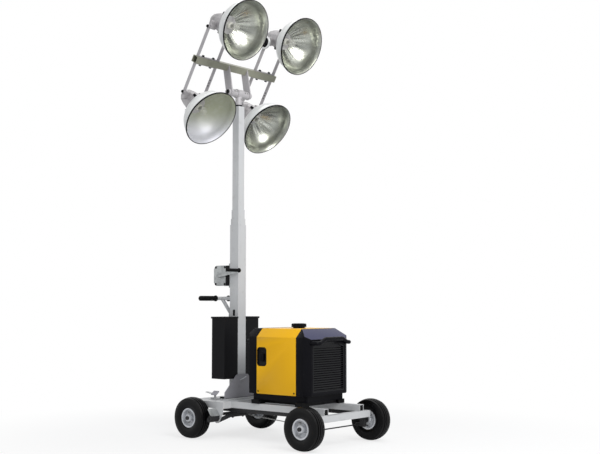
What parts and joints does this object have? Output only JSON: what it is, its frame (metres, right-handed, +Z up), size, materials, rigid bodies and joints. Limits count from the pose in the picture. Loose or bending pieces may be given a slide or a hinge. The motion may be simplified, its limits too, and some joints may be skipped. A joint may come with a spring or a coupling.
{
  "type": "mobile light tower",
  "caption": "Hand-moved light tower: a steered cart with a generator, winch-raised telescopic mast, ballast boxes and tilting flood lamps on a crossbar.",
  "frame": {"origin": "on the ground, below the middle of the overall length and width", "axes": "+X forward, towards the steered wheels; +Y left; +Z up"},
  "size_m": [1.2347, 0.936, 2.7685],
  "materials": {
    "frame_paint": "satin light grey paint",
    "axle_steel": "dark grey paint, worn",
    "pedal_steel": "grey paint, worn bright",
    "galvanised_steel": "zinc plated",
    "head_paint": "satin mid grey paint",
    "black_grip": "ribbed black rubber",
    "box_black": "satin black paint",
    "housing_black": "fine grained black plastic",
    "panel_yellow": "satin yellow",
    "foot_rubber": "black rubber",
    "engine_iron": "cast",
    "tyre": "ribbed black tyre",
    "rim_silver": "silver paint",
    "cast_housing": "grey painted casting",
    "spun_aluminium": "spun, satin outside and polished inside",
    "lens_glass": "clear"
  },
  "bodies": {
    "chassis": {"ballast_box_left": "box_black", "ballast_box_right": "box_black", "ballast_lids": "box_black", "brake_bar": "axle_steel", "brake_pedal": "pedal_steel", "engine_block": "engine_iron", "frame_rails": "frame_paint", "front_cross_tube": "frame_paint", "fuel_cap": "housing_black", "generator_base": "housing_black", "generator_feet": "foot_rubber", "generator_front_cover": "housing_black", "generator_grille": "housing_black", "generator_handle_front": "housing_black", "generator_handle_rear": "housing_black", "generator_mid_cover": "panel_yellow", "generator_rear_cover": "housing_black", "handle_grips": "black_grip", "kingpin_yokes": "axle_steel", "mast_foot": "frame_paint", "mast_section_1": "frame_paint", "push_handle": "frame_paint", "rear_axle": "axle_steel", "rear_deck": "frame_paint", "winch_drum": "axle_steel", "winch_frame": "galvanised_steel"},
    "wheel_front_left": {"tyre_front_left": "tyre", "rim_front_left": "rim_silver"},
    "wheel_front_right": {"tyre_front_right": "tyre", "rim_front_right": "rim_silver"},
    "wheel_rear_left": {"tyre_rear_left": "tyre", "rim_rear_left": "rim_silver"},
    "wheel_rear_right": {"tyre_rear_right": "tyre", "rim_rear_right": "rim_silver"},
    "knuckle_left": {"knuckle_left": "axle_steel"},
    "knuckle_right": {"knuckle_right": "axle_steel"},
    "tie_rod": {"tie_rod": "axle_steel"},
    "mast_section_2": {"mast_section_2": "frame_paint"},
    "mast_section_3": {"mast_section_3": "frame_paint"},
    "mast_section_4": {"mast_section_4": "frame_paint"},
    "pan_head": {"head_clamp": "head_paint"},
    "tilt_frame": {"pivot_tube": "head_paint", "head_uprights": "head_paint", "crossbar": "head_paint", "stirrups": "head_paint"},
    "lamp_upper_left": {"lamp_upper_left_housing": "cast_housing", "lamp_upper_left_reflector": "spun_aluminium", "lamp_upper_left_lens": "lens_glass"},
    "lamp_upper_right": {"lamp_upper_right_housing": "cast_housing", "lamp_upper_right_reflector": "spun_aluminium", "lamp_upper_right_lens": "lens_glass"},
    "lamp_lower_left": {"lamp_lower_left_housing": "cast_housing", "lamp_lower_left_reflector": "spun_aluminium", "lamp_lower_left_lens": "lens_glass"},
    "lamp_lower_right": {"lamp_lower_right_housing": "cast_housing", "lamp_lower_right_reflector": "spun_aluminium", "lamp_lower_right_lens": "lens_glass"},
    "winch_crank": {"winch_crank": "galvanised_steel", "crank_grip": "black_grip"}
  },
  "joints": [
    {"name": "wheel_front_left_spin", "type": "hinge", "parent": "knuckle_left", "child": "wheel_front_left", "pos_m": [0.4874, 0.328, 0.13], "axis": [0, 1, 0], "continuous": true},
    {"name": "wheel_front_right_spin", "type": "hinge", "parent": "knuckle_right", "child": "wheel_front_right", "pos_m": [0.4874, -0.328, 0.13], "axis": [0, 1, 0], "continuous": true},
    {"name": "wheel_rear_left_spin", "type": "hinge", "parent": "chassis", "child": "wheel_rear_left", "pos_m": [-0.4426, 0.328, 0.13], "axis": [0, 1, 0], "continuous": true},
    {"name": "wheel_rear_right_spin", "type": "hinge", "parent": "chassis", "child": "wheel_rear_right", "pos_m": [-0.4426, -0.328, 0.13], "axis": [0, 1, 0], "continuous": true},
    {"name": "steer_right", "type": "hinge", "parent": "chassis", "child": "knuckle_right", "pos_m": [0.4874, -0.252, 0.126], "axis": [0, 0, 1], "range_deg": [-25, 25]},
    {"name": "steer_left", "type": "hinge", "parent": "chassis", "child": "knuckle_left", "pos_m": [0.4874, 0.252, 0.126], "axis": [0, 0, 1], "range_deg": [-25, 25]},
    {"name": "tie_rod_pivot", "type": "hinge", "parent": "knuckle_right", "child": "tie_rod", "pos_m": [0.4374, -0.252, 0.1], "axis": [0, 0, 1], "range_deg": [-25, 25]},
    {"name": "mast_slide_2", "type": "slide", "parent": "chassis", "child": "mast_section_2", "axis": [0, 0, 1], "range_m": [-0.03, 0.82]},
    {"name": "mast_slide_3", "type": "slide", "parent": "mast_section_2", "child": "mast_section_3", "axis": [0, 0, 1], "range_m": [-0.05, 0.8]},
    {"name": "mast_slide_4", "type": "slide", "parent": "mast_section_3", "child": "mast_section_4", "axis": [0, 0, 1], "range_m": [-0.686, 0.15]},
    {"name": "head_pan", "type": "hinge", "parent": "mast_section_4", "child": "pan_head", "pos_m": [-0.3576, 0, 2.214], "axis": [0, 0, 1], "range_deg": [-175, 175]},
    {"name": "head_tilt", "type": "hinge", "parent": "pan_head", "child": "tilt_frame", "pos_m": [-0.3576, 0, 2.262], "axis": [0, 1, 0], "range_deg": [-30, 30]},
    {"name": "lamp_upper_left_tilt", "type": "hinge", "parent": "tilt_frame", "child": "lamp_upper_left", "pos_m": [-0.2736, 0.275, 2.63445], "axis": [0, 1, 0], "range_deg": [-60, 40]},
    {"name": "lamp_upper_right_tilt", "type": "hinge", "parent": "tilt_frame", "child": "lamp_upper_right", "pos_m": [-0.2736, -0.275, 2.63445], "axis": [0, 1, 0], "range_deg": [-60, 40]},
    {"name": "lamp_lower_left_tilt", "type": "hinge", "parent": "tilt_frame", "child": "lamp_lower_left", "pos_m": [-0.5016, 0.275, 2.23955], "axis": [0, 1, 0], "range_deg": [-40, 60]},
    {"name": "lamp_lower_right_tilt", "type": "hinge", "parent": "tilt_frame", "child": "lamp_lower_right", "pos_m": [-0.5016, -0.275, 2.23955], "axis": [0, 1, 0], "range_deg": [-40, 60]},
    {"name": "winch_crank_turn", "type": "hinge", "parent": "chassis", "child": "winch_crank", "pos_m": [-0.4871, -0.05, 1.041], "axis": [0, -1, 0], "range_deg": [-75, 240]}
  ],
  "couplings": [
    {"joint": "steer_left", "follows": "steer_right", "ratio": 1},
    {"joint": "tie_rod_pivot", "follows": "steer_right", "ratio": -1}
  ]
}
